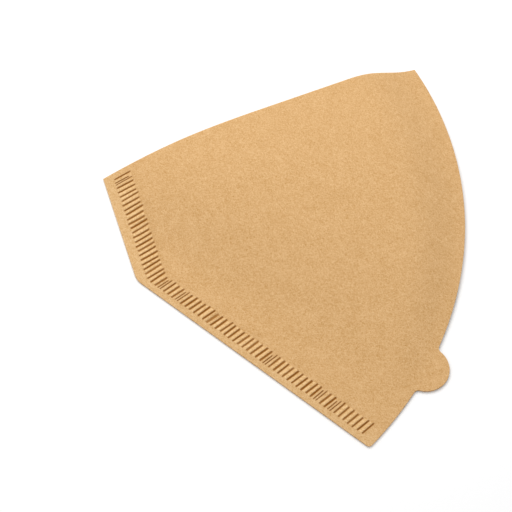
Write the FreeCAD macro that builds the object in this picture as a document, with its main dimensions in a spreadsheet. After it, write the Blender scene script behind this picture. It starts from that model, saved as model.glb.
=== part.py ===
import FreeCAD, Part
import math
import os

# Paper cone coffee filter, lying closed and slightly arched.
# One folded sheet: a fold along one side, a crimped seam along the other side and along the
# bottom, an open mouth cut as an arc with a small rounded pull tab.
# All lengths are in millimetres, all angles in degrees.

SIZES = [
    ("paper_thickness", 0.2, "one wall of paper"),
    ("fold_length", 135.8, "folded edge, from the bottom corner to the mouth"),
    ("bottom_length", 47.7, "bottom seam edge"),
    ("fold_corner_angle", 94.5, "inside corner between the fold and the bottom seam"),
    ("sector_angle", 61.4, "angle between the fold and the side seam"),
    ("mouth_radius", 144.3, "arc of the mouth"),
    ("mouth_centre_across", 9.1, "arc centre, measured across from the fold"),
    ("mouth_corner_radius", 1.4, "rounding where the side seam meets the mouth"),
    ("tab_radius", 8.9, "rounded pull tab"),
    ("tab_sink", 1.1, "how far the tab's centre lies inside the arc"),
    ("tab_angle", 52.4, "where the tab sits on the arc, turned from the fold direction"),
    ("tab_root_radius", 2.0, "hollow rounding at the root of the tab"),
    ("arch_height", 9.6, "rise of the fold's middle above the table"),
    ("arch_climb", 0.5, "share of the length over which the arch climbs"),
    ("arch_fall", 0.27, "share of the length over which it comes down to the mouth"),
    ("arch_end", 1.04, "share of the length at which it would reach the table"),
    ("fold_half_gap", 0.6, "half the space between the walls beside the fold"),
    ("seam_half_gap", 0.1, "half the swelling of the bonded seams"),
    ("opening_length", 45.0, "how far from the bottom the walls take to come apart"),
    ("bottom_band_width", 12.6, "bonded band of the bottom seam"),
    ("side_band_width", 9.8, "bonded band of the side seam"),
    ("bottom_corner_radius", 8.0, "rounding where the two seams meet"),
    ("crimp_pitch", 2.0, "one crimp to the next along the edge"),
    ("crimp_groove_width", 0.6, "width of one pressed groove"),
    ("crimp_depth", 0.28, "depth of one pressed groove"),
    ("crimp_end_space", 2.6, "plain edge before the first groove and after the last"),
    ("bottom_crimp_lean", 13.0, "lean of the bottom grooves from square to the edge"),
    ("side_crimp_lean", 10.0, "lean of the side grooves from square to the edge"),
    ("bottom_crimp_length", 7.8, "groove length on the bottom seam"),
    ("side_crimp_length", 6.3, "groove length on the side seam"),
    ("bottom_crimp_margin", 4.0, "plain paper between the bottom edge and the grooves"),
    ("side_crimp_margin", 2.8, "plain paper between the side edge and the grooves"),
    ("corner_turn_length", 7.0, "how far from the seam corner the grooves fan round"),
    ("resting_trim", 0.04, "pressed off the underside so that the seam band lies flat"),
    ("cutter_height", 40.0, "height of the cutting outlines"),
]
SECTION_COUNT = 33
POINTS_PER_WALL = 17
BEND_FLATS = 5

doc = FreeCAD.newDocument("paper_filter")
sheet = doc.addObject("Spreadsheet::Sheet", "sizes")
for row, (name, value, note) in enumerate(SIZES, start=1):
    sheet.set("A%d" % row, name)
    sheet.set("B%d" % row, str(value))
    sheet.set("C%d" % row, note)
    sheet.setAlias("B%d" % row, name)
doc.recompute()


def size(name):
    return float(getattr(sheet, name))


def step(start, direction, distance):
    """Place reached from a start in the plan by going a distance along a direction."""
    return (start[0] + distance * direction[0], start[1] + distance * direction[1])


def line_crossing(first, first_direction, second, second_direction):
    """Place where two lines in the plan meet."""
    square = (first_direction[0] * second_direction[1]
              - first_direction[1] * second_direction[0])
    gap_x = second[0] - first[0]
    gap_y = second[1] - first[1]
    run = (gap_x * second_direction[1] - gap_y * second_direction[0]) / square
    return step(first, first_direction, run)


# Plan of the closed filter. x runs across from the fold, y runs along the fold to the mouth,
# and the corner between the fold and the bottom seam is at zero.
paper = size("paper_thickness")
mouth_radius = size("mouth_radius")
sector = math.radians(size("sector_angle"))
bottom_slope = math.radians(size("fold_corner_angle") - 90.0)
bottom_direction = (math.cos(bottom_slope), -math.sin(bottom_slope))
bottom_inward = (math.sin(bottom_slope), math.cos(bottom_slope))
side_direction = (math.sin(sector), math.cos(sector))
side_inward = (-side_direction[1], side_direction[0])
bottom_run = size("bottom_length")
seam_corner = step((0.0, 0.0), bottom_direction, bottom_run)
mouth_x = size("mouth_centre_across")
mouth_y = size("fold_length") - math.sqrt(mouth_radius ** 2 - mouth_x ** 2)


def mouth_line(x):
    aside = min(x - mouth_x, 0.985 * mouth_radius)
    return mouth_y + math.sqrt(mouth_radius ** 2 - aside ** 2)


def bottom_line(x):
    return -math.tan(bottom_slope) * x


def seam_line(y):
    return seam_corner[0] + (y - seam_corner[1]) * math.tan(sector)


def ease(value):
    value = min(1.0, max(0.0, value))
    return value ** 3 * (10.0 + value * (6.0 * value - 15.0))


def across(x, y):
    """Nought at the fold, one where the side seam's flat band begins."""
    flat_from = seam_line(y) - size("side_band_width") / math.cos(sector)
    return x / max(flat_from, 20.0)


def underside(x, y):
    """Height of the lower face: an arch that is highest at the middle of the fold."""
    low = bottom_line(x)
    along = (y - low) / (mouth_line(x) - low)
    climb = 1.0 - max(0.0, 1.0 - along / size("arch_climb")) ** 2.5
    fall = ease((size("arch_end") - along) / size("arch_fall"))
    return size("arch_height") * climb * fall * (1.0 - ease(across(x, y)))


def half_gap(x, y):
    """Half the space between the two walls."""
    opened = ease((y - bottom_line(x)) / size("opening_length"))
    swelling = size("fold_half_gap") - size("seam_half_gap")
    return size("seam_half_gap") + swelling * opened * (1.0 - ease(across(x, y)))


def upper_face(x, y):
    """Point of the upper face above a place in the plan."""
    return FreeCAD.Vector(x, y, underside(x, y) + 2.0 * (paper + half_gap(x, y)))


def curve(points):
    even = [i / (len(points) - 1.0) for i in range(len(points))]
    spline = Part.BSplineCurve()
    spline.interpolate(Points=points, Parameters=even)
    return spline.toShape()


def cross_section(y, wall):
    """Closed outline of the folded walls at one place along the fold, inset by wall."""
    nose = paper + half_gap(0.0, y)
    far = mouth_x + mouth_radius
    upper = []
    lower = []
    for i in range(POINTS_PER_WALL):
        x = nose + (far - nose) * i / (POINTS_PER_WALL - 1)
        top = upper_face(x, y)
        upper.append(FreeCAD.Vector(x, y, top.z - wall))
        lower.append(FreeCAD.Vector(x, y, underside(x, y) + wall))
    middle = (upper[0].z + lower[0].z) / 2.0
    half = (upper[0].z - lower[0].z) / 2.0
    bend = [upper[0]]
    for i in range(1, BEND_FLATS):
        turn = math.pi * i / BEND_FLATS
        bend.append(FreeCAD.Vector(nose - (nose - wall) * math.sin(turn), y,
                                   middle + half * math.cos(turn)))
    bend.append(lower[0])
    flats = [Part.makeLine(start, end) for start, end in zip(bend, bend[1:])]
    closing = Part.makeLine(lower[-1], upper[-1])
    return Part.Wire([curve(upper[::-1])] + flats + [curve(lower), closing])


def folded(wall):
    """Solid inside the folded walls, inset by wall, longer than the filter at both ends."""
    start = seam_corner[1] - 5.4
    end = size("fold_length") + 9.0
    spacing = (end - start) / (SECTION_COUNT - 1)
    sections = [cross_section(start + spacing * i, wall) for i in range(SECTION_COUNT)]
    return Part.makeLoft(sections, True, True)


def upright(points):
    """Upright solid over a plan polygon, tall enough to cut right through."""
    low = [FreeCAD.Vector(x, y, -size("cutter_height") / 2.0) for x, y in points]
    face = Part.Face(Part.makePolygon(low + [low[0]]))
    return face.extrude(FreeCAD.Vector(0, 0, size("cutter_height")))


def computed(name, shape):
    feature = doc.addObject("Part::Feature", name)
    feature.Shape = shape
    return feature


def bound(kind, name, **formulas):
    feature = doc.addObject(kind, name)
    for field, formula in formulas.items():
        feature.setExpression(field, formula)
    return feature


def disc(name, radius_cell, centre):
    feature = bound("Part::Cylinder", name,
                    Radius="sizes." + radius_cell, Height="sizes.cutter_height")
    feature.Placement.Base = FreeCAD.Vector(centre[0], centre[1], -size("cutter_height") / 2.0)
    return feature


# The folded sheet before its outline is cut, and the space between its two walls.
walls = computed("folded_walls", folded(0.0))
space = computed("space_between_walls", folded(paper))

# Outline cut through both walls: fold, bottom seam, side seam, mouth arc and pull tab.
past_mouth = mouth_radius + 10.0
beyond = step(seam_corner, side_direction, past_mouth)
sector_block = computed("sector_block", upright([
    (-2.0, bottom_line(-2.0)), seam_corner, beyond, (-2.0, beyond[1] + 100.0)]))
tab_turn = math.radians(size("tab_angle"))
tab_centre = step((mouth_x, mouth_y), (math.sin(tab_turn), math.cos(tab_turn)),
                  mouth_radius - size("tab_sink"))
mouth_disc = disc("mouth_disc", "mouth_radius", (mouth_x, mouth_y))
tab_disc = disc("tab_disc", "tab_radius", tab_centre)
fan = doc.addObject("Part::MultiCommon", "fan")
fan.Shapes = [mouth_disc, sector_block]
sharp_outline = doc.addObject("Part::MultiFuse", "sharp_outline")
sharp_outline.Shapes = [fan, tab_disc]
doc.recompute()


def upright_edges(solid, spots):
    """Upright edges of a solid that stand at the given places in the plan."""
    found = []
    for edge in solid.Edges:
        box = edge.BoundBox
        stands = box.ZLength > size("cutter_height") * 0.9
        if stands and any(math.hypot(box.Center.x - x, box.Center.y - y) < 0.6
                          for x, y in spots):
            found.append(edge)
    return found


def tab_roots():
    """The two places where the tab's circle crosses the mouth arc."""
    apart = mouth_radius - size("tab_sink")
    along = (apart ** 2 + mouth_radius ** 2 - size("tab_radius") ** 2) / (2.0 * apart)
    aside = math.sqrt(mouth_radius ** 2 - along ** 2)
    outward = (math.sin(tab_turn), math.cos(tab_turn))
    base = step((mouth_x, mouth_y), outward, along)
    return [step(base, (outward[1], -outward[0]), side * aside) for side in (-1.0, 1.0)]


def seam_run_to_mouth():
    """Length of the side seam from the corner of the seams to the mouth arc."""
    from_x = seam_corner[0] - mouth_x
    from_y = seam_corner[1] - mouth_y
    reach = from_x * side_direction[0] + from_y * side_direction[1]
    return math.sqrt(reach ** 2 - from_x ** 2 - from_y ** 2 + mouth_radius ** 2) - reach


side_run = seam_run_to_mouth()
outline_shape = sharp_outline.Shape.removeSplitter()
for radius_cell, spots in (
        ("bottom_corner_radius", [seam_corner]),
        ("mouth_corner_radius", [step(seam_corner, side_direction, side_run)]),
        ("tab_root_radius", tab_roots())):
    edges = upright_edges(outline_shape, spots)
    outline_shape = outline_shape.makeFillet(size(radius_cell), edges)
outline = computed("cut_outline", outline_shape)

# The walls stay apart inside the bonded bands and all the way out through the mouth.
inner_start = step(step((0.0, 0.0), bottom_inward, size("bottom_band_width")),
                   bottom_direction, -10.0)
inner_side = step(seam_corner, side_inward, size("side_band_width"))
inner_corner = line_crossing(inner_start, bottom_direction, inner_side, side_direction)
inner_beyond = step(inner_side, side_direction, past_mouth)
pocket_block = computed("pocket_block", upright([
    inner_start, inner_corner, inner_beyond, (inner_start[0], inner_beyond[1] + 100.0)]))

cut_walls = doc.addObject("Part::MultiCommon", "cut_walls")
cut_walls.Shapes = [walls, outline]
pocket = doc.addObject("Part::MultiCommon", "pocket")
pocket.Shapes = [space, pocket_block]
pouch = doc.addObject("Part::Cut", "pouch")
pouch.Base = cut_walls
pouch.Tool = pocket

# Crimp grooves, pressed nearly square to the edge. They fan round the corner of the seams.
turn_length = size("corner_turn_length")
bottom_heading = (math.degrees(math.atan2(bottom_inward[1], bottom_inward[0]))
                  + size("bottom_crimp_lean"))
side_heading = (math.degrees(math.atan2(side_inward[1], side_inward[0]))
                + size("side_crimp_lean"))
length_formula = "sizes.bottom_crimp_length * %.4f + sizes.side_crimp_length * %.4f"
grooves = []
place = size("crimp_end_space")
while place < bottom_run + side_run - size("crimp_end_space") + 0.2:
    blend = min(1.0, max(0.0, (place - bottom_run + turn_length) / (2.0 * turn_length)))
    heading = math.radians(bottom_heading + (side_heading - bottom_heading) * blend)
    inward = (math.cos(heading), math.sin(heading))
    if place < bottom_run:
        on_edge = step((0.0, 0.0), bottom_direction, place)
    else:
        on_edge = step(seam_corner, side_direction, place - bottom_run)
    margin = size("bottom_crimp_margin") * (1.0 - blend) + size("side_crimp_margin") * blend
    length = size("bottom_crimp_length") * (1.0 - blend) + size("side_crimp_length") * blend
    near = step(on_edge, inward, margin)
    start = upper_face(*near)
    end = upper_face(*step(near, inward, length))
    beside = upper_face(*step(near, (-inward[1], inward[0]), 1.0))
    lengthways = (end - start).normalize()
    outward = lengthways.cross(beside - start).normalize()
    sideways = outward.cross(lengthways)
    groove = bound("Part::Box", "crimp_%02d" % (len(grooves) + 1),
                   Length=length_formula % (1.0 - blend, blend),
                   Width="sizes.crimp_groove_width", Height="sizes.crimp_depth * 6")
    corner = (start - sideways * (size("crimp_groove_width") / 2.0)
              - outward * size("crimp_depth"))
    turned = FreeCAD.Rotation(lengthways, sideways, outward, "XZY")
    groove.Placement = FreeCAD.Placement(corner, turned)
    grooves.append(groove)
    place += size("crimp_pitch")
groove_row = doc.addObject("Part::Compound", "groove_row")
groove_row.Links = grooves

# The table presses the underside flat where the seam band rests on it.
table = bound("Part::Box", "table_top", Length="sizes.fold_length * 3",
              Width="sizes.fold_length * 3", Height="sizes.cutter_height")
table.Placement.Base = FreeCAD.Vector(-size("fold_length"), -size("fold_length"),
                                      size("resting_trim") - size("cutter_height"))
pressing = doc.addObject("Part::Compound", "pressing")
pressing.Links = [groove_row, table]
paper_filter = doc.addObject("Part::Cut", "paper_filter")
paper_filter.Base = pouch
paper_filter.Tool = pressing
doc.recompute()

# Final frame: the side seam is towards +X, the mouth towards +Y, up is +Z, and the origin is
# under the middle of the filter.
facing = FreeCAD.Rotation(FreeCAD.Vector(0, 0, 1), size("sector_angle") / 2.0)
paper_filter.Placement = FreeCAD.Placement(FreeCAD.Vector(0, 0, 0), facing)
points = paper_filter.Shape.tessellate(0.02)[0]
low = [min(point[axis] for point in points) for axis in range(3)]
high = [max(point[axis] for point in points) for axis in range(3)]
origin = FreeCAD.Vector(-(low[0] + high[0]) / 2.0, -(low[1] + high[1]) / 2.0, -low[2])
paper_filter.Placement = FreeCAD.Placement(origin, facing)
doc.recompute()

for item in doc.Objects:
    if "Invalid" in item.State or "Error" in item.State:
        raise RuntimeError("%s did not build" % item.Name)
shape = paper_filter.Shape
if shape.isNull() or not shape.isValid() or len(shape.Solids) != 1:
    raise RuntimeError("the filter is not one valid solid")

os.makedirs("parts", exist_ok=True)
shape.exportStep("parts/paper_filter.step")
print("grooves", len(grooves))
print("size", [round(high[axis] - low[axis], 2) for axis in range(3)])
print("volume", round(shape.Volume, 1))
print("shift", [round(value, 3) for value in paper_filter.Placement.Base])
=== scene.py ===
# %% [markdown]
# # A paper coffee filter
# The object is one cone filter of unbleached paper, folded flat. One sheet is folded along its
# left side. The other side and the bottom are closed by a band of pressed crimps. The top is an
# open mouth, cut as an arc, with a small rounded pull tab near the seam.
# We start by loading the solid model. It gives the frame that every piece has to keep to.

# %% Load the solid model
import math
import random

import bpy
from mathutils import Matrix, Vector
from mathutils.geometry import delaunay_2d_cdt


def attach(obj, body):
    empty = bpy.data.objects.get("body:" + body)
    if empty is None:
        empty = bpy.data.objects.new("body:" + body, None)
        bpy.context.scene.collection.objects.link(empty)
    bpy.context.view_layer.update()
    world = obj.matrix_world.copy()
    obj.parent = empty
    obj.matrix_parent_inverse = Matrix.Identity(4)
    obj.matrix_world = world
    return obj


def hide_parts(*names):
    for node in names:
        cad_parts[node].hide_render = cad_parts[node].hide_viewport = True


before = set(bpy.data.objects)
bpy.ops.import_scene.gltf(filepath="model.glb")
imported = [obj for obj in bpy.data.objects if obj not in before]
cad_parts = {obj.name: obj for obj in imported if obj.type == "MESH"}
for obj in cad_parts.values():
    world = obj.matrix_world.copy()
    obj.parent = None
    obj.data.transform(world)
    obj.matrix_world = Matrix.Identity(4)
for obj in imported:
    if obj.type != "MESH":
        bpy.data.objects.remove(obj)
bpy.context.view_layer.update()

# %% [markdown]
# ## Sizes
# The outline is simplest to describe from the folded edge: x runs across from the fold and y
# runs along it, from the bottom corner to the mouth. The lengths are in millimetres, as a
# paper maker would give them, and are turned into metres only when a mesh is made.

# %% Sizes of the filter in millimetres
PAPER = 0.2
FOLD_LENGTH = 135.8
BOTTOM_LENGTH = 47.7
CORNER_ANGLE = math.radians(94.5)
SECTOR_ANGLE = math.radians(61.4)
MOUTH_RADIUS = 144.3
MOUTH_X = 9.1
MOUTH_Y = FOLD_LENGTH - math.sqrt(MOUTH_RADIUS ** 2 - MOUTH_X ** 2)
TAB_RADIUS = 8.9
TAB_SINK = 1.1
TAB_ANGLE = math.radians(52.4)
TAB_ROOT = 2.0
SEAM_CORNER_RADIUS = 8.0
MOUTH_CORNER_RADIUS = 1.4
BOTTOM_BAND = 12.6
SIDE_BAND = 9.8
ARCH_HEIGHT = 9.6
ARCH_ROUNDNESS = 2.5

# Shares of the length: the arch climbs over the first half, and falls over about the last
# quarter, towards an end that lies a little past the mouth.
ARCH_CLIMB = 0.5
ARCH_FALL = 0.27
ARCH_END = 1.04

# Half of the space between the walls, at the fold and at the seams. At the fold it opens up
# over a length from the bottom.
FOLD_GAP = 0.6
SEAM_GAP = 0.1
OPENING_LENGTH = 45.0
RESTING_HEIGHT = 0.03

# These two keep the formulas of the arch in range for places far off the outline.
NARROWEST = 20.0
ARC_REACH = 0.985 * MOUTH_RADIUS

LEAN = CORNER_ANGLE - math.pi / 2
BOTTOM_WAY = Vector((math.cos(LEAN), -math.sin(LEAN)))
BOTTOM_IN = Vector((math.sin(LEAN), math.cos(LEAN)))
SIDE_WAY = Vector((math.sin(SECTOR_ANGLE), math.cos(SECTOR_ANGLE)))
SIDE_IN = Vector((-SIDE_WAY.y, SIDE_WAY.x))
SEAM_CORNER = BOTTOM_WAY * BOTTOM_LENGTH
MOUTH_CENTRE = Vector((MOUTH_X, MOUTH_Y))

# %% [markdown]
# ## The shape in space
# The filter isn't quite flat. The paper is springy, so the folded edge bows up off the table
# while the crimped side, which is stiff and heavy, lies flat. One function gives the height of
# the lower wall at any place in the plan, and another gives the space between the two walls.

# %% Height of the paper over the table
def ease(value):
    """A smooth step from 0 to 1 that starts and ends level."""
    value = min(1.0, max(0.0, value))
    return value ** 3 * (10.0 + value * (6.0 * value - 15.0))


def mouth_line(x):
    """How far along the filter the mouth's arc lies, at one place across."""
    aside = min(x - MOUTH_X, ARC_REACH)
    return MOUTH_Y + math.sqrt(MOUTH_RADIUS ** 2 - aside ** 2)


def bottom_line(x):
    """How far along the filter the bottom edge lies, which leans a little."""
    return -math.tan(LEAN) * x


def across(x, y):
    """Share of the way from the fold to the inner side of the seam band."""
    seam_x = SEAM_CORNER.x + (y - SEAM_CORNER.y) * math.tan(SECTOR_ANGLE)
    return x / max(seam_x - SIDE_BAND / math.cos(SECTOR_ANGLE), NARROWEST)


def underside(x, y):
    """Height of the lower wall, which climbs from the bottom seam and falls at the mouth."""
    low = bottom_line(x)
    along = (y - low) / (mouth_line(x) - low)
    climb = 1.0 - max(0.0, 1.0 - along / ARCH_CLIMB) ** ARCH_ROUNDNESS
    fall = ease((ARCH_END - along) / ARCH_FALL)
    return ARCH_HEIGHT * climb * fall * (1.0 - ease(across(x, y)))


def half_gap(x, y):
    """Half of the space between the walls, widest at the fold."""
    opened = ease((y - bottom_line(x)) / OPENING_LENGTH)
    return SEAM_GAP + (FOLD_GAP - SEAM_GAP) * opened * (1.0 - ease(across(x, y)))


def nose(y):
    """Outer radius of the bend at the fold."""
    return PAPER + half_gap(0.0, y)


print("fold rises to", round(max(underside(0, y) for y in range(0, 138, 2)), 1), "mm")

# %% [markdown]
# ## The outline
# The outline is drawn as one closed chain of points, as a cutting die would follow it: along the
# bottom, round the seam corner, up the side seam, round the mouth corner, back along the arc
# with the pull tab on the way, and down the fold. Each point remembers which edge it is on.

# %% Round the two corners of the side seam
SEAM_CORNER_STEPS = 8
MOUTH_CORNER_STEPS = 7


def turned(arrow, angle):
    """An arrow in the plan, turned to the left by an angle."""
    return Vector((arrow.x * math.cos(angle) - arrow.y * math.sin(angle),
                   arrow.x * math.sin(angle) + arrow.y * math.cos(angle)))


def rounded(corner, way_in, way_out, radius, steps):
    """Points of a rounding between two straight edges that meet at a corner."""
    turn = way_in.angle(way_out)
    back = radius * math.tan(turn / 2.0)
    left = 1.0 if way_in.x * way_out.y - way_in.y * way_out.x > 0 else -1.0
    centre = corner - way_in * back + Vector((-way_in.y, way_in.x)) * radius * left
    first = corner - way_in * back - centre
    points = []
    for i in range(steps + 1):
        points.append(centre + turned(first, left * turn * i / steps))
    return points


# Where the side seam meets the mouth arc.
reach = (SEAM_CORNER - MOUTH_CENTRE).dot(SIDE_WAY)
within = MOUTH_RADIUS ** 2 - (SEAM_CORNER - MOUTH_CENTRE).length_squared
SIDE_LENGTH = -reach + math.sqrt(reach ** 2 + within)
MOUTH_CORNER = SEAM_CORNER + SIDE_WAY * SIDE_LENGTH

seam_round = rounded(SEAM_CORNER, BOTTOM_WAY, SIDE_WAY, SEAM_CORNER_RADIUS, SEAM_CORNER_STEPS)
corner_angle = math.atan2(MOUTH_CORNER.x - MOUTH_X, MOUTH_CORNER.y - MOUTH_Y)
arc_way = Vector((-math.cos(corner_angle), math.sin(corner_angle)))
mouth_round = rounded(MOUTH_CORNER, SIDE_WAY, arc_way, MOUTH_CORNER_RADIUS, MOUTH_CORNER_STEPS)
print("side seam:", round(SIDE_LENGTH, 1), "mm")

# %% Draw the pull tab
ROOT_STEPS = 5
TAB_STEPS = 34


def on_arc(angle, radius=MOUTH_RADIUS):
    """A place on the mouth's arc, by its angle from the fold's direction."""
    return MOUTH_CENTRE + Vector((math.sin(angle), math.cos(angle))) * radius


# The tab is a disc centred near the arc; small hollow roundings lead into it.
tab_centre = on_arc(TAB_ANGLE, MOUTH_RADIUS - TAB_SINK)
root_from_mouth = MOUTH_RADIUS + TAB_ROOT
root_from_tab = TAB_RADIUS + TAB_ROOT
apart = MOUTH_RADIUS - TAB_SINK
root_turn = math.acos((apart ** 2 + root_from_mouth ** 2 - root_from_tab ** 2)
                      / (2.0 * apart * root_from_mouth))


def hollow(side):
    """Points of the hollow rounding between the arc and the tab, from the arc outwards."""
    centre = on_arc(TAB_ANGLE + side * root_turn, root_from_mouth)
    to_arc = (MOUTH_CENTRE - centre).normalized()
    to_tab = (tab_centre - centre).normalized()
    turn = to_arc.angle(to_tab)
    sign = 1.0 if to_arc.x * to_tab.y - to_arc.y * to_tab.x > 0 else -1.0
    points = []
    for i in range(ROOT_STEPS + 1):
        points.append(centre + turned(to_arc, sign * turn * i / ROOT_STEPS) * TAB_ROOT)
    return points


low_root = hollow(1.0)
high_root = hollow(-1.0)
tab_start = math.atan2(low_root[-1].y - tab_centre.y, low_root[-1].x - tab_centre.x)
tab_end = math.atan2(high_root[-1].y - tab_centre.y, high_root[-1].x - tab_centre.x)
if tab_end < tab_start:
    tab_end += 2.0 * math.pi
tab_points = []
for i in range(1, TAB_STEPS):
    angle = tab_start + (tab_end - tab_start) * i / TAB_STEPS
    tab_points.append(tab_centre + Vector((math.cos(angle), math.sin(angle))) * TAB_RADIUS)
print("tab stands", round(TAB_RADIUS - TAB_SINK, 1), "mm out of the mouth's arc")

# %% Join the outline
BOTTOM_STEP = 1.6
EDGE_STEP = 2.0
TAB_SIDE_STEP = 1.2
FOLD_STEPS = 60


def straight(a, b, step):
    """Evenly spaced points from one place up to, and without, another."""
    count = max(1, round((b - a).length / step))
    return [a.lerp(b, i / count) for i in range(count)]


def arc_run(start, end, step):
    """Points between two places on the mouth's arc."""
    count = max(2, round(abs(end - start) * MOUTH_RADIUS / step))
    return [on_arc(start + (end - start) * i / count) for i in range(1, count)]


bottom_start = Vector((nose(0.0), bottom_line(nose(0.0))))
arc_first = math.atan2(mouth_round[-1].x - MOUTH_X, mouth_round[-1].y - MOUTH_Y)
mouth_end_x = nose(FOLD_LENGTH)
mouth_end_y = mouth_line(mouth_end_x)
mouth_end = Vector((mouth_end_x, mouth_end_y))
arc_last = math.atan2(mouth_end.x - MOUTH_X, mouth_end.y - MOUTH_Y)

outline = []
outline += [(p, "bottom") for p in straight(bottom_start, seam_round[0], BOTTOM_STEP)]
outline += [(p, "bottom") for p in seam_round[:-1]]
outline += [(p, "side") for p in straight(seam_round[-1], mouth_round[0], EDGE_STEP)]
outline += [(p, "side") for p in mouth_round[:-1]]
mouth_chain = [mouth_round[-1]]
mouth_chain += arc_run(arc_first, TAB_ANGLE + root_turn, TAB_SIDE_STEP)
mouth_chain += low_root + tab_points + high_root[::-1]
mouth_chain += arc_run(TAB_ANGLE - root_turn, arc_last, EDGE_STEP)
outline += [(p, "mouth") for p in mouth_chain]
outline += [(mouth_end, "mouth")]
for i in range(1, FOLD_STEPS):
    y = mouth_end_y + (bottom_start.y - mouth_end_y) * i / FOLD_STEPS
    outline.append((Vector((nose(y), y)), "fold"))
print("outline points:", len(outline))

# %% [markdown]
# ## The crimps
# A press closes the seams with short grooves. Their outer ends follow the edge at a small
# distance, and they all point nearly the same way, turning a little only along the bottom.
# From above each one is a narrow dark line between two pale ridges, partly from the relief and
# partly from painted shade in the groove and a painted highlight on the ridges. The underside has
# its own row, half a step along. The press isn't perfect: a few grooves are split in two thin ones
# and one is wide and soft, and a fixed seed varies the others a little. Each tooth of the press is
# kept as its place, its width, its share of the length and how hard it presses. A loop is the
# handy way here, as seventy grooves by hand would never come out even.

# %% Lay out the run of the grooves
AFTER_LAST_CRIMP = 3.6
# Headings are in degrees, turned to the left from the way straight across the filter.
FIRST_HEADING = 89.0
CORNER_HEADING = 104.0
MOUTH_HEADING = 108.0
HEADING_TURN = 1.4
BOTTOM_OUTER = 3.6
BOTTOM_INNER = 11.15
SIDE_OUTER = 2.3
SIDE_INNER = 8.3


def meet(point_a, way_a, point_b, way_b):
    """The place where two straight lines cross."""
    cross = way_a.x * way_b.y - way_a.y * way_b.x
    gap = point_b - point_a
    return point_a + way_a * ((gap.x * way_b.y - gap.y * way_b.x) / cross)


crimp_corner = meet(BOTTOM_IN * BOTTOM_OUTER, BOTTOM_WAY, SEAM_CORNER + SIDE_IN * SIDE_OUTER, SIDE_WAY)
bottom_run = (crimp_corner - BOTTOM_IN * BOTTOM_OUTER).length
side_run = SIDE_LENGTH - (crimp_corner - SEAM_CORNER).dot(SIDE_WAY) - AFTER_LAST_CRIMP


def crimp_line(place, play=0.0):
    """Start, direction and length of the groove at one place along the two seams."""
    past = place - bottom_run
    if past < 0.0:
        share = (place / bottom_run) ** HEADING_TURN
        heading = FIRST_HEADING + (CORNER_HEADING - FIRST_HEADING) * share
        start = crimp_corner + BOTTOM_WAY * past
    else:
        heading = CORNER_HEADING + (MOUTH_HEADING - CORNER_HEADING) * past / side_run
        start = crimp_corner + SIDE_WAY * past
    heading = math.radians(heading + play)
    way = Vector((math.cos(heading), math.sin(heading)))
    to_bottom = (BOTTOM_INNER - start.dot(BOTTOM_IN)) / way.dot(BOTTOM_IN)
    to_side = (SIDE_INNER - (start - SEAM_CORNER).dot(SIDE_IN)) / way.dot(SIDE_IN)
    return start, way, max(to_bottom, to_side)


print("grooves run", round(bottom_run), "mm along the bottom,", round(side_run), "mm along the side")

# %% Press the grooves
CRIMP_PITCH = 2.08
FIRST_CRIMP = 2.9
CRIMP_WIDTH = 0.84
SPLIT = (1, 25, 29, 49, 60, 63)
SPLIT_ASIDE = 0.5
SPLIT_WIDTH = 0.62
SPLIT_LENGTH = 0.85
SPLIT_PRESS = 0.85
SOFT = 36
SOFT_WIDTH = 1.5
SOFT_PRESS = 0.95
CROWDED_PRESS = 0.4
WIDTH_PLAY = (0.88, 1.12)
PRESS_PLAY = (0.85, 1.05)
PLACE_PLAY = 0.1
TURN_PLAY = 1.6
START_PLAY = 0.2
LENGTH_PLAY = 0.25
press_play = random.Random(7)
count = 1 + int((bottom_run + side_run - FIRST_CRIMP) / CRIMP_PITCH)
teeth = []
for i in range(count):
    place = FIRST_CRIMP + CRIMP_PITCH * i + press_play.uniform(-PLACE_PLAY, PLACE_PLAY)
    if i in SPLIT:
        teeth.append((place - SPLIT_ASIDE, SPLIT_WIDTH, SPLIT_LENGTH, SPLIT_PRESS))
        teeth.append((place + SPLIT_ASIDE, SPLIT_WIDTH, 1.0, SPLIT_PRESS))
    elif i == SOFT:
        teeth.append((place, SOFT_WIDTH, 1.0, SOFT_PRESS))
    else:
        teeth.append((place, press_play.uniform(*WIDTH_PLAY), 1.0, 1.0))
grooves = []
for place, wide, share, press in teeth:
    start, way, length = crimp_line(place, press_play.uniform(-TURN_PLAY, TURN_PLAY))
    start = start + way * press_play.uniform(-START_PLAY, START_PLAY)
    length = length * share + press_play.uniform(-LENGTH_PLAY, LENGTH_PLAY)
    press *= press_play.uniform(*PRESS_PLAY)
    grooves.append(("top", start, way, length, CRIMP_WIDTH * wide, press))
for i in range(count - 1):
    start, way, length = crimp_line(FIRST_CRIMP + CRIMP_PITCH * (i + 0.5))
    crowded = {i, i + 1} & {*SPLIT, SOFT}
    press = press_play.uniform(*PRESS_PLAY) * (CROWDED_PRESS if crowded else 1.0)
    grooves.append(("under", start, way, length, 0.0, press))
print("grooves on top:", len(teeth), " underneath:", len(grooves) - len(teeth))

# %% [markdown]
# ## The mesh
# The plan is cut into triangles that follow the outline and every groove, and are coarse in
# the plain middle. A Delaunay triangulation does that, where a plain grid would need a fine
# mesh everywhere. The same triangles are then lifted twice, as the upper and the lower wall.

# %% Spread points over the plain middle
PLAN_STEP = 2.6
PLAN_MARGIN = 1.1
BAND_MARGIN = 0.4
ROW_SHARE = 0.866


def inside(point, chain):
    """Whether a point lies within a closed chain, by counting the edges to its right."""
    hit = False
    j = len(chain) - 1
    for i in range(len(chain)):
        a, b = chain[i], chain[j]
        if (a.y > point.y) != (b.y > point.y):
            if point.x < (b.x - a.x) * (point.y - a.y) / (b.y - a.y) + a.x:
                hit = not hit
        j = i
    return hit


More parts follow.
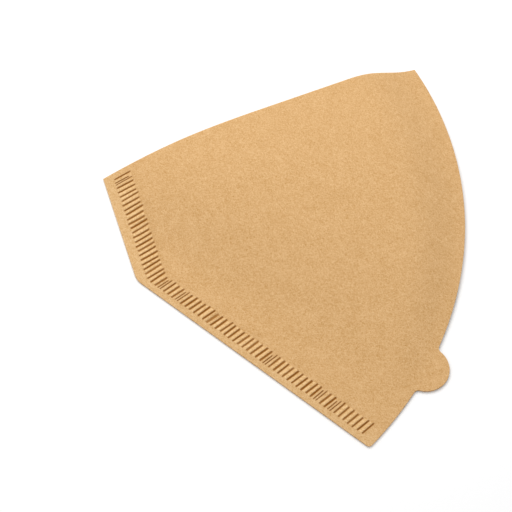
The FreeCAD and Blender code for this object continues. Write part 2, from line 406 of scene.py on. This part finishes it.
def fill_points(chain, step, margin):
    """Evenly spaced points inside a closed chain, kept off its edge."""
    low = Vector((min(p.x for p in chain), min(p.y for p in chain)))
    high = Vector((max(p.x for p in chain), max(p.y for p in chain)))
    found = []
    row = 0
    y = low.y + step * 0.5
    while y < high.y:
        x = low.x + step * (0.25 + 0.5 * (row % 2))
        while x < high.x:
            p = Vector((x, y))
            if inside(p, chain) and min((p - q).length_squared for q in chain) > margin ** 2:
                found.append(p)
            x += step
        y += step * ROW_SHARE
        row += 1
    return found


def in_band(point):
    """Whether a point lies on the bonded seam band or just beside it."""
    to_bottom = point.dot(BOTTOM_IN)
    to_side = (point - SEAM_CORNER).dot(SIDE_IN)
    return to_bottom < BOTTOM_BAND + BAND_MARGIN or to_side < SIDE_BAND + BAND_MARGIN


chain = [p for p, kind in outline]
plain_points = [p for p in fill_points(chain, PLAN_STEP, PLAN_MARGIN) if not in_band(p)]
print("points in the plain middle:", len(plain_points))

# %% Triangulate the plan
SAME_PLACE = 1e-5

# Across a groove: share of its width, share of its depth. Along it: share of its length, share
# of its depth. A groove of the underside is only a line, and its sides slope to the next line.
TOP_PROFILE = ((-0.5, 0.0), (-0.25, 0.92), (0.0, 1.0), (0.25, 0.92), (0.5, 0.0))
TOP_STOPS = ((0.0, 0.0), (0.07, 0.9), (0.3, 1.0), (0.7, 1.0), (0.93, 0.9), (1.0, 0.0))
UNDER_PROFILE = ((0.0, 1.0),)
UNDER_STOPS = ((0.02, 0.0), (0.1, 1.0), (0.5, 1.0), (0.9, 1.0), (0.98, 0.0))

plan = list(chain)
lines = [(i, (i + 1) % len(chain)) for i in range(len(chain))]
relief = {}
for row, start, way, length, wide, press in grooves:
    aside = Vector((-way.y, way.x))
    profile, stops = (TOP_PROFILE, TOP_STOPS) if row == "top" else (UNDER_PROFILE, UNDER_STOPS)
    for offset, depth in profile:
        first = len(plan)
        for stop, share in stops:
            plan.append(start + way * length * stop + aside * wide * offset)
            relief[len(plan) - 1] = (row, depth * share * press)
        lines += [(first + i, first + i + 1) for i in range(len(stops) - 1)]
plan += plain_points
cut = delaunay_2d_cdt(plan, lines, [], 1, SAME_PLACE)
verts, tris, from_points = cut[0], cut[2], cut[3]
place_of = {}
for new, olds in enumerate(from_points):
    for old in olds:
        place_of[old] = new
pressed_top = [0.0] * len(verts)
pressed_low = [0.0] * len(verts)
for old, (row, depth) in relief.items():
    target = pressed_top if row == "top" else pressed_low
    target[place_of[old]] = max(target[place_of[old]], depth)

# %% [markdown]
# ## Two walls and a fold
# The outer skin is the lifted plan, twice, joined at the fold by a half round bend and at the
# seams by the cut edge of the bonded paper. The space between the walls is a smaller plan of
# its own, open at the mouth, where a thin rim joins it to the outer skin. The whole filter is
# one closed mesh, as it is one piece of paper. The lengths are still in millimetres here, and
# only a finished corner is turned into metres.

# %% Lift the plan into two walls
# The fold is turned by half of the sector's angle, so that the middle of the mouth points along
# Y and the longest way is along X. The shift brings the middle of the filter to the origin.
TURN = SECTOR_ANGLE / 2.0
SHIFT = Vector((-14.009, -70.945))

# A groove sinks into its own face, and one of the underside also lifts the upper face.
CRIMP_DEPTH = 0.42
CRIMP_SWELL = 0.14
UNDER_DEPTH = 0.2
corners = []
faces = []


def add(x, y, z):
    """Keeps one corner, turned from the fold's own axes into the frame, in metres."""
    place = turned(Vector((x, y)), TURN) + SHIFT
    corners.append(Vector((place.x, place.y, z)) / 1000.0)
    return len(corners) - 1


def low_z(x, y):
    """Height of the filter's underside."""
    return RESTING_HEIGHT + max(0.0, underside(x, y))


def high_z(x, y):
    """Height of the filter's upper face."""
    return low_z(x, y) + 2.0 * (PAPER + half_gap(x, y))


upper = []
lower = []
for i, p in enumerate(verts):
    swell = CRIMP_SWELL * pressed_low[i] - CRIMP_DEPTH * pressed_top[i]
    upper.append(add(p.x, p.y, high_z(p.x, p.y) + swell))
for i, p in enumerate(verts):
    lower.append(add(p.x, p.y, low_z(p.x, p.y) + UNDER_DEPTH * pressed_low[i]))
for a, b, c in tris:
    faces.append((upper[a], upper[b], upper[c]))
    faces.append((lower[c], lower[b], lower[a]))
print("two walls:", len(faces), "faces")

# %% Close the seams with the cut edge
EDGE_LINE_PULL = 0.12
rim = [place_of[i] for i in range(len(outline))]
kinds = [kind for p, kind in outline]
first_mouth = kinds.index("mouth")
first_fold = kinds.index("fold")
open_from = next(i for i in range(first_mouth, first_fold)
                 if (chain[i] - SEAM_CORNER).dot(SIDE_IN) >= SIDE_BAND)


def edge_line(i):
    """The line between the two bonded layers, seen on the cut edge."""
    p, q, r = chain[i - 1], chain[i], chain[(i + 1) % len(chain)]
    way = (r - p).normalized()
    pulled = q + Vector((-way.y, way.x)) * EDGE_LINE_PULL
    return add(pulled.x, pulled.y, (low_z(q.x, q.y) + high_z(q.x, q.y)) / 2.0)


middle = {i: edge_line(i) for i in range(open_from + 1)}
for i in range(open_from):
    a, b = rim[i], rim[i + 1]
    faces.append((lower[a], lower[b], middle[i + 1], middle[i]))
    faces.append((middle[i], middle[i + 1], upper[b], upper[a]))
print("cut edge of the seams:", len(middle) - 1, "steps round")

# %% Bend the fold
BEND_STEPS = 8


def bend_ring(y, wall):
    """Half round of the fold, from the top to the bottom, inset by wall."""
    radius = nose(y) - wall
    centre = low_z(nose(y), y) + nose(y)
    ring = []
    for i in range(1, BEND_STEPS):
        turn = math.pi * i / BEND_STEPS
        ring.append(add(nose(y) - radius * math.sin(turn), y, centre + radius * math.cos(turn)))
    return ring


fold_chain = [first_fold - 1] + list(range(first_fold, len(outline))) + [0]
outer_rings = {}
for i in fold_chain:
    p = chain[i]
    outer_rings[i] = [upper[rim[i]]] + bend_ring(p.y, 0.0) + [lower[rim[i]]]
for i, j in zip(fold_chain, fold_chain[1:]):
    here, there = outer_rings[i], outer_rings[j]
    for k in range(BEND_STEPS):
        faces.append((here[k], there[k], there[k + 1], here[k + 1]))
faces.append(tuple(outer_rings[0] + [middle[0]]))
print("outer skin:", len(faces), "faces")

# %% Line the space between the walls
LINING_STEP = 5.0
LINING_MARGIN = 1.5
LINING_EDGE_STEP = 4.0
pocket_fold = [i for i in fold_chain if chain[i].dot(BOTTOM_IN) >= BOTTOM_BAND]
last = chain[pocket_fold[-1]]
level = last.dot(BOTTOM_IN)
inner_corner = meet(BOTTOM_IN * level, BOTTOM_WAY, SEAM_CORNER + SIDE_IN * SIDE_BAND, SIDE_WAY)
inner_chain = [chain[i] for i in range(open_from, first_fold)]
inner_chain += [chain[i] for i in pocket_fold[1:]]
inner_chain += straight(last, inner_corner, LINING_EDGE_STEP)[1:]
inner_chain += straight(inner_corner, chain[open_from], LINING_EDGE_STEP)
mouth_count = first_fold - open_from
inner_plan = inner_chain + fill_points(inner_chain, LINING_STEP, LINING_MARGIN)
inner_lines = [(i, (i + 1) % len(inner_chain)) for i in range(len(inner_chain))]
inner_cut = delaunay_2d_cdt(inner_plan, inner_lines, [], 1, SAME_PLACE)
inner_verts, inner_tris, inner_from = inner_cut[0], inner_cut[2], inner_cut[3]
inner_place = {old: new for new, olds in enumerate(inner_from) for old in olds}
ceiling = [add(p.x, p.y, high_z(p.x, p.y) - PAPER) for p in inner_verts]
floor_in = [add(p.x, p.y, low_z(p.x, p.y) + PAPER) for p in inner_verts]
for a, b, c in inner_tris:
    faces.append((ceiling[c], ceiling[b], ceiling[a]))
    faces.append((floor_in[a], floor_in[b], floor_in[c]))
inner_rings = {}
for n, i in enumerate(pocket_fold):
    spot = inner_place[mouth_count - 1 + n]
    inner_rings[i] = [ceiling[spot]] + bend_ring(chain[i].y, PAPER) + [floor_in[spot]]
for i, j in zip(pocket_fold, pocket_fold[1:]):
    here, there = inner_rings[i], inner_rings[j]
    for k in range(BEND_STEPS):
        faces.append((here[k + 1], there[k + 1], there[k], here[k]))
faces.append(tuple(inner_rings[pocket_fold[-1]][::-1]))
closed_from = mouth_count - 1 + len(pocket_fold) - 1
for n in range(closed_from, len(inner_chain)):
    a = inner_place[n]
    b = inner_place[(n + 1) % len(inner_chain)]
    faces.append((ceiling[a], ceiling[b], floor_in[b], floor_in[a]))
print("lining of the pocket:", len(inner_tris), "triangles a wall")

# %% Join the walls at the rim of the mouth
for n in range(mouth_count - 1):
    i = open_from + n
    a, b = rim[i], rim[i + 1]
    c, d = inner_place[n], inner_place[n + 1]
    faces.append((upper[b], upper[a], ceiling[c], ceiling[d]))
    faces.append((lower[a], lower[b], floor_in[d], floor_in[c]))
outer, inner = outer_rings[pocket_fold[0]], inner_rings[pocket_fold[0]]
for k in range(BEND_STEPS):
    faces.append((outer[k + 1], outer[k], inner[k], inner[k + 1]))
end, start = rim[open_from], inner_place[0]
faces.append((upper[end], middle[open_from], lower[end], floor_in[start], ceiling[start]))

mesh = bpy.data.meshes.new("paper_filter")
mesh.from_pydata(corners, [], faces)
mesh.validate()
print("whole filter:", len(mesh.vertices), "points,", len(mesh.polygons), "faces")

# %% [markdown]
# Open edges would let light leak through the paper, so we count them before going on. The
# normals are made to point outwards, and the surface is smoothed except at the cut edges. Each
# point also keeps three marks for the material: how deep it is pressed, which sets a painted
# shade in the grooves, how far it swells between two grooves, which sets a painted highlight on
# the ridges, and how near it is to the plain margin of a seam.

# %% Check and smooth the mesh
import bmesh

SHARP_ANGLE = math.radians(38.0)
work = bmesh.new()
work.from_mesh(mesh)
bmesh.ops.recalc_face_normals(work, faces=work.faces)
open_edges = sum(1 for edge in work.edges if not edge.is_manifold)
paper_volume = work.calc_volume()
work.to_mesh(mesh)
work.free()
mesh.shade_smooth()
mesh.set_sharp_from_angle(angle=SHARP_ANGLE)
print("open edges:", open_edges, " volume:", round(paper_volume * 1e6, 2), "cm3")

# %% Mark the points and make the object
MARKS = ("pressed", "ridge_highlight", "seam_margin")
for name in MARKS:
    mesh.attributes.new(name, "FLOAT", "POINT")
pressed, ridge_highlight, seam_margin = [mesh.attributes[name] for name in MARKS]
for i, p in enumerate(verts):
    from_bottom = (BOTTOM_INNER - p.dot(BOTTOM_IN)) / (BOTTOM_INNER - BOTTOM_OUTER)
    from_side = (SIDE_INNER - (p - SEAM_CORNER).dot(SIDE_IN)) / (SIDE_INNER - SIDE_OUTER)
    for skin, own, other in ((upper, pressed_top, pressed_low), (lower, pressed_low, pressed_top)):
        # The pressed mark sets a painted shade in the grooves, the other a painted highlight on the
        # ridges.
        pressed.data[skin[i]].value = min(1.0, own[i])
        ridge_highlight.data[skin[i]].value = min(1.0, other[i])
        seam_margin.data[skin[i]].value = min(1.0, max(0.0, from_bottom, from_side))
paper_filter = bpy.data.objects.new("folded_sheet", mesh)
bpy.context.collection.objects.link(paper_filter)
print("marks on the mesh:", [mark.name for mark in mesh.attributes if mark.name in MARKS])

# %% [markdown]
# ## The paper
# Unbleached filter paper is warm brown, matt and slightly fuzzy. Close up it is a felt of
# fibres: a fine mottle in faint clouds, a few darker flecks, and short pale threads that lie
# mostly one way. One node group makes these patterns as plain values, so that the material can
# use them for both the colour and the bump. An image would need a picture of real paper, and
# noise in the object's own metres stays sharp at any distance.

# %% Grain sizes and helpers for value nodes
SOFT_GRAIN = 1700.0
FINE_GRAIN = 3400.0
CLOUD_GRAIN = 170.0
THREAD_GRAIN = 620.0
FLECK_GRAIN = 900.0
LONG_FLECK_GRAIN = 480.0


def noise(tree, vector, scale, detail, rough=0.5, distortion=0.0):
    """A noise pattern; the scale is the number of features in a metre."""
    node = tree.nodes.new("ShaderNodeTexNoise")
    node.inputs["Scale"].default_value = scale
    node.inputs["Detail"].default_value = detail
    node.inputs["Roughness"].default_value = rough
    node.inputs["Distortion"].default_value = distortion
    tree.links.new(vector, node.inputs["Vector"])
    return node.outputs["Fac"]


def stretch(tree, value, low, high):
    """Stretches the part of a value between low and high over 0 to 1."""
    node = tree.nodes.new("ShaderNodeMapRange")
    node.inputs["From Min"].default_value = low
    node.inputs["From Max"].default_value = high
    tree.links.new(value, node.inputs["Value"])
    return node.outputs["Result"]


def combine(tree, operation, a, b):
    """One step of arithmetic on two values or numbers."""
    node = tree.nodes.new("ShaderNodeMath")
    node.operation = operation
    for value, socket in ((a, node.inputs[0]), (b, node.inputs[1])):
        if isinstance(value, (int, float)):
            socket.default_value = value
        else:
            tree.links.new(value, socket)
    return node.outputs["Value"]


def drawn_out(tree, vector, angle, squeeze):
    """Coordinates that draw a pattern out along one direction in the plan."""
    node = tree.nodes.new("ShaderNodeMapping")
    node.vector_type = "TEXTURE"
    node.inputs["Rotation"].default_value = (0.0, 0.0, angle)
    node.inputs["Scale"].default_value = (1.0, 1.0 / squeeze, 1.0)
    tree.links.new(vector, node.inputs["Vector"])
    return node.outputs["Vector"]


grains = (SOFT_GRAIN, FINE_GRAIN, CLOUD_GRAIN, THREAD_GRAIN, FLECK_GRAIN, LONG_FLECK_GRAIN)
print("grain sizes in mm:", [round(1000.0 / grain, 2) for grain in grains])

# %% Node group: felted fibres
# The layers of the mottle: grain, detail, roughness, distortion and share.
MOTTLE_LAYERS = ((SOFT_GRAIN, 3.0, 0.6, 0.6, 0.46),
                 (FINE_GRAIN, 2.0, 0.7, 0.0, 0.43),
                 (CLOUD_GRAIN, 3.0, 0.5, 0.0, 0.11))
THREAD_WAYS = (1.3, 1.8, 0.5)
THREAD_SQUEEZE = 3.5
FLECK_WAY = 0.9
FLECK_SQUEEZE = 2.5
MOTTLE_FROM, MOTTLE_TO = 0.35, 0.65
THREADS_FROM, THREADS_TO = 0.5, 0.7
FLECKS_FROM, FLECKS_TO = 0.58, 0.66

fibres = bpy.data.node_groups.new("Felted fibres", "ShaderNodeTree")
fibres.interface.new_socket(name="Vector", in_out="INPUT", socket_type="NodeSocketVector")
for label in ("Mottle", "Threads", "Flecks"):
    fibres.interface.new_socket(name=label, in_out="OUTPUT", socket_type="NodeSocketFloat")
where = fibres.nodes.new("NodeGroupInput").outputs["Vector"]
result = fibres.nodes.new("NodeGroupOutput")
mottle = None
for grain, detail, rough, distortion, weight in MOTTLE_LAYERS:
    layer = combine(fibres, "MULTIPLY", noise(fibres, where, grain, detail, rough, distortion), weight)
    mottle = layer if mottle is None else combine(fibres, "ADD", mottle, layer)
fibres.links.new(stretch(fibres, mottle, MOTTLE_FROM, MOTTLE_TO), result.inputs["Mottle"])
threads = None
for angle in THREAD_WAYS:
    along = drawn_out(fibres, where, angle, THREAD_SQUEEZE)
    one_way = noise(fibres, along, THREAD_GRAIN, 2.0, 0.55, 0.5)
    threads = one_way if threads is None else combine(fibres, "MAXIMUM", threads, one_way)
fibres.links.new(stretch(fibres, threads, THREADS_FROM, THREADS_TO), result.inputs["Threads"])
round_flecks = noise(fibres, where, FLECK_GRAIN, 1.0)
along = drawn_out(fibres, where, FLECK_WAY, FLECK_SQUEEZE)
long_flecks = noise(fibres, along, LONG_FLECK_GRAIN, 1.0)
flecks = combine(fibres, "MINIMUM", round_flecks, long_flecks)
fibres.links.new(stretch(fibres, flecks, FLECKS_FROM, FLECKS_TO), result.inputs["Flecks"])
print("group", fibres.name, "gives", [socket.name for socket in result.inputs if socket.name])

# %% [markdown]
# The colour starts from the mottle, between a darker and a lighter brown. Threads and flecks go
# over it. Then the three marks of the mesh are read: a groove gets a painted shade, the ridges
# between the grooves get a painted highlight, and the loosened paper along the seam's margin is
# paler.

# %% Colours of the paper
def srgb(red, green, blue):
    """The linear colour of a screen colour given from 0 to 255."""
    channels = []
    for value in (red, green, blue):
        value /= 255.0
        channels.append(value / 12.92 if value <= 0.04045 else ((value + 0.055) / 1.055) ** 2.4)
    return (*channels, 1.0)


GROUND_DARK = srgb(180, 134, 74)
GROUND_LIGHT = srgb(218, 177, 127)
PALE_THREAD = srgb(233, 197, 148)
DARK_FLECK = srgb(166, 114, 66)
# The dark brown of a groove is painted shade in the groove.
GROOVE_SHADE = srgb(144, 86, 0)
THREAD_SHARE = 0.36
FLECK_SHARE = 0.22
GROOVE_SHADE_SHARE = 0.97

# These two multiply the colour, most of all its blue, which makes it paler and greyer. The
# second one is a painted highlight on the ridges between the grooves.
MARGIN_LIFT = (1.04, 1.08, 1.13, 1.0)
PAINTED_RIDGE_HIGHLIGHT = (1.26, 1.34, 1.42, 1.0)
print("ground from", [round(v, 2) for v in GROUND_DARK[:3]], "to", [round(v, 2) for v in GROUND_LIGHT[:3]])

# %% Paper material
paper = bpy.data.materials.new("filter_paper")
paper.use_nodes = True
tree = paper.node_tree
shader = tree.nodes["Principled BSDF"]
shader.inputs["Roughness"].default_value = 0.92
shader.inputs["Specular IOR Level"].default_value = 0.18
place_node = tree.nodes.new("ShaderNodeTexCoord")
felt = tree.nodes.new("ShaderNodeGroup")
felt.node_tree = fibres
tree.links.new(place_node.outputs["Object"], felt.inputs["Vector"])


def tint(under, over, amount, blend="MIX"):
    """Mixes a second colour over the first by a mask, or multiplies it in."""
    node = tree.nodes.new("ShaderNodeMix")
    node.data_type = "RGBA"
    node.blend_type = blend
    tree.links.new(amount, node.inputs["Factor"])
    for value, socket in ((under, node.inputs["A"]), (over, node.inputs["B"])):
        if isinstance(value, tuple):
            socket.default_value = value
        else:
            tree.links.new(value, socket)
    return node.outputs["Result"]


def read_mark(name):
    """A value that was written on the mesh point by point."""
    node = tree.nodes.new("ShaderNodeAttribute")
    node.attribute_name = name
    return node.outputs["Fac"]


colour = tint(GROUND_DARK, GROUND_LIGHT, felt.outputs["Mottle"])
colour = tint(colour, PALE_THREAD, combine(tree, "MULTIPLY", felt.outputs["Threads"], THREAD_SHARE))
colour = tint(colour, DARK_FLECK, combine(tree, "MULTIPLY", felt.outputs["Flecks"], FLECK_SHARE))
colour = tint(colour, MARGIN_LIFT, read_mark("seam_margin"), "MULTIPLY")
# Painted highlight on the ridges between the grooves.
colour = tint(colour, PAINTED_RIDGE_HIGHLIGHT, read_mark("ridge_highlight"), "MULTIPLY")
# Painted shade in the grooves, as strong as each groove is pressed.
colour = tint(colour, GROOVE_SHADE, combine(tree, "MULTIPLY", read_mark("pressed"), GROOVE_SHADE_SHARE))
tree.links.new(colour, shader.inputs["Base Color"])
bump = tree.nodes.new("ShaderNodeBump")
bump.inputs["Strength"].default_value = 0.35
bump.inputs["Distance"].default_value = 0.0001
fuzz = combine(tree, "ADD", felt.outputs["Mottle"], felt.outputs["Threads"])
tree.links.new(fuzz, bump.inputs["Height"])
tree.links.new(bump.outputs["Normal"], shader.inputs["Normal"])
paper_filter.data.materials.append(paper)
print("paper material has", len(tree.nodes), "nodes")

# %% [markdown]
# ## Join the piece to the solid model
# The filter has no moving parts, so it rides on the one body. It is a sheet: the flat blank is
# the plan and its mirror image across the fold, so it has twice the plan's area.

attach(paper_filter, "root")
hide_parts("paper_filter")

# %% [markdown]
# ## Floor, light and camera
# The photo is a catalogue picture on pure white. A white floor catches the soft shadow, a wide
# lamp high at the back left gives the direction of the light, and the white surroundings fill
# the rest. The camera looks down steeply with a long lens, from beside the crimped seam.

# %% Floor
FLOOR_SIZE = 6.0
FLOOR_DROP = 0.0002
bpy.ops.mesh.primitive_plane_add(size=FLOOR_SIZE, location=(0.0, 0.0, -FLOOR_DROP))
floor = bpy.context.object
floor.name = "floor"
white = bpy.data.materials.new("white_floor")
white.use_nodes = True
floor_shader = white.node_tree.nodes["Principled BSDF"]
floor_shader.inputs["Base Color"].default_value = (0.93, 0.93, 0.93, 1.0)
floor_shader.inputs["Roughness"].default_value = 0.9
floor_shader.inputs["Specular IOR Level"].default_value = 0.1
floor.data.materials.append(white)
print("floor", FLOOR_SIZE, "m wide")

# %% Light
SURROUNDINGS = 0.72
LAMP_PLACE = (-0.24, -0.12, 0.44)
LAMP_POWER = 1.8
LAMP_WIDTH = 0.42
world = bpy.data.worlds.new("surroundings")
bpy.context.scene.world = world
world.use_nodes = True
background = world.node_tree.nodes["Background"]
background.inputs["Color"].default_value = (1.0, 1.0, 1.0, 1.0)
background.inputs["Strength"].default_value = SURROUNDINGS
lamp_data = bpy.data.lights.new("window", "AREA")
lamp_data.shape = "DISK"
lamp_data.size = LAMP_WIDTH
lamp_data.energy = LAMP_POWER
lamp = bpy.data.objects.new("window", lamp_data)
lamp.location = LAMP_PLACE
lamp.rotation_euler = (-lamp.location).to_track_quat("-Z", "Y").to_euler()
bpy.context.collection.objects.link(lamp)
print("lamp at", [round(v, 2) for v in lamp.location])

# %% Camera
SENSOR_WIDTH = 36.0
LENS = 91.4
CAMERA_PLACE = (0.25644, 0.02599, 0.42664)
LOOK_DOWN = math.radians(60.0)
LOOK_TURN = (-0.99103, -0.13363)
camera_data = bpy.data.cameras.new("camera")
camera_data.sensor_width = SENSOR_WIDTH
camera_data.lens = LENS
camera = bpy.data.objects.new("camera", camera_data)
camera.location = CAMERA_PLACE
level = math.cos(LOOK_DOWN)
look = Vector((LOOK_TURN[0] * level, LOOK_TURN[1] * level, -math.sin(LOOK_DOWN)))
camera.rotation_euler = look.to_track_quat("-Z", "Y").to_euler()
bpy.context.collection.objects.link(camera)
bpy.context.scene.camera = camera
bpy.context.scene.view_settings.view_transform = "Standard"
print("camera lens", camera_data.lens, "mm")
